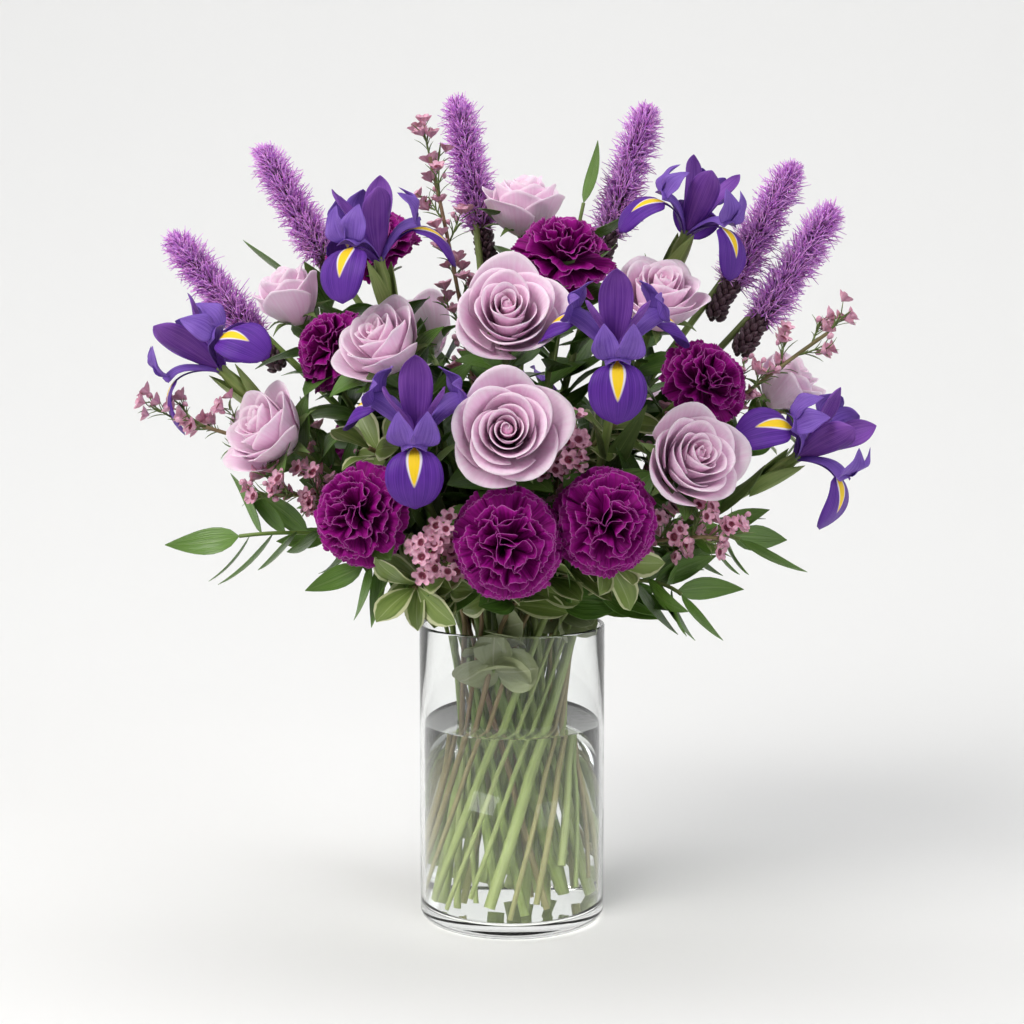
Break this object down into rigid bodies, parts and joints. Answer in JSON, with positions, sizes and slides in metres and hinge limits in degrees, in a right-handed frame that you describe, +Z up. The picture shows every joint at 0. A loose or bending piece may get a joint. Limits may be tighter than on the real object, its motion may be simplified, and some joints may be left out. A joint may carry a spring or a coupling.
{
  "type": "mixed bouquet of irises and roses in a glass vase",
  "caption": "Full rounded bouquet of irises, roses, carnations, tall flower spikes, waxflower and mixed leaves, standing in a clear glass cylinder of water.",
  "frame": {"origin": "centre of the flat underside of the vase, on the surface it stands on", "axes": "+Z up along the vase's axis; the front of the bouquet faces -Y and its right side, seen from the front, is +X"},
  "size_m": [0.4649, 0.3277, 0.562],
  "materials": {
    "glass": "clear and polished, with a faint grey-green edge",
    "water": "clear, still water",
    "rose_petal": "matt and velvety, pale lavender pink",
    "carnation_petal": "matt and velvety, deep magenta purple",
    "iris_petal": "matt and velvety, blue violet",
    "iris_signal": "matt yellow",
    "liatris_floret": "matt, orchid purple",
    "liatris_bud": "matt, dark purple brown",
    "waxflower_petal": "waxy, soft pink",
    "waxflower_heart": "waxy, dark maroon",
    "sepal": "matt, mid green",
    "ruscus_leaf": "glossy, dark green",
    "pittosporum_leaf": "satin, mid green with a cream margin",
    "eucalyptus_leaf": "matt, bloomy grey green",
    "green_stem": "satin, yellow green",
    "woody_stem": "matt, pinkish brown bark"
  },
  "bodies": {
    "root": {"vase": "glass", "water": "water", "rose_1": "rose_petal", "rose_2": "rose_petal", "rose_3": "rose_petal", "rose_4": "rose_petal", "rose_5": "rose_petal", "rose_6": "rose_petal", "rose_7": "rose_petal", "rose_8": "rose_petal", "rose_9": "rose_petal", "rose_10": "rose_petal", "rose_11": "rose_petal", "carnation_1": "carnation_petal", "carnation_2": "carnation_petal", "carnation_3": "carnation_petal", "carnation_4": "carnation_petal", "carnation_5": "carnation_petal", "carnation_6": "carnation_petal", "carnation_7": "carnation_petal", "carnation_8": "carnation_petal", "carnation_9": "carnation_petal", "iris_1": "iris_petal", "iris_2": "iris_petal", "iris_3": "iris_petal", "iris_4": "iris_petal", "iris_5": "iris_petal", "iris_6": "iris_petal", "iris_7": "iris_petal", "liatris_1": "liatris_floret", "liatris_2": "liatris_floret", "liatris_3": "liatris_floret", "liatris_4": "liatris_floret", "liatris_5": "liatris_floret", "liatris_6": "liatris_floret", "waxflower_1": "waxflower_petal", "waxflower_2": "waxflower_petal", "waxflower_3": "waxflower_petal", "waxflower_4": "waxflower_petal", "waxflower_5": "waxflower_petal", "waxflower_6": "waxflower_petal", "waxflower_7": "waxflower_petal", "waxflower_8": "waxflower_petal", "ruscus_1": "ruscus_leaf", "ruscus_2": "ruscus_leaf", "ruscus_3": "ruscus_leaf", "ruscus_4": "ruscus_leaf", "ruscus_5": "ruscus_leaf", "ruscus_6": "ruscus_leaf", "ruscus_7": "ruscus_leaf", "ruscus_8": "ruscus_leaf", "pittosporum_1": "pittosporum_leaf", "pittosporum_2": "pittosporum_leaf", "pittosporum_3": "pittosporum_leaf", "pittosporum_4": "pittosporum_leaf", "pittosporum_5": "pittosporum_leaf", "pittosporum_6": "pittosporum_leaf", "eucalyptus_1": "eucalyptus_leaf", "eucalyptus_2": "eucalyptus_leaf", "eucalyptus_3": "eucalyptus_leaf"}
  },
  "joints": []
}
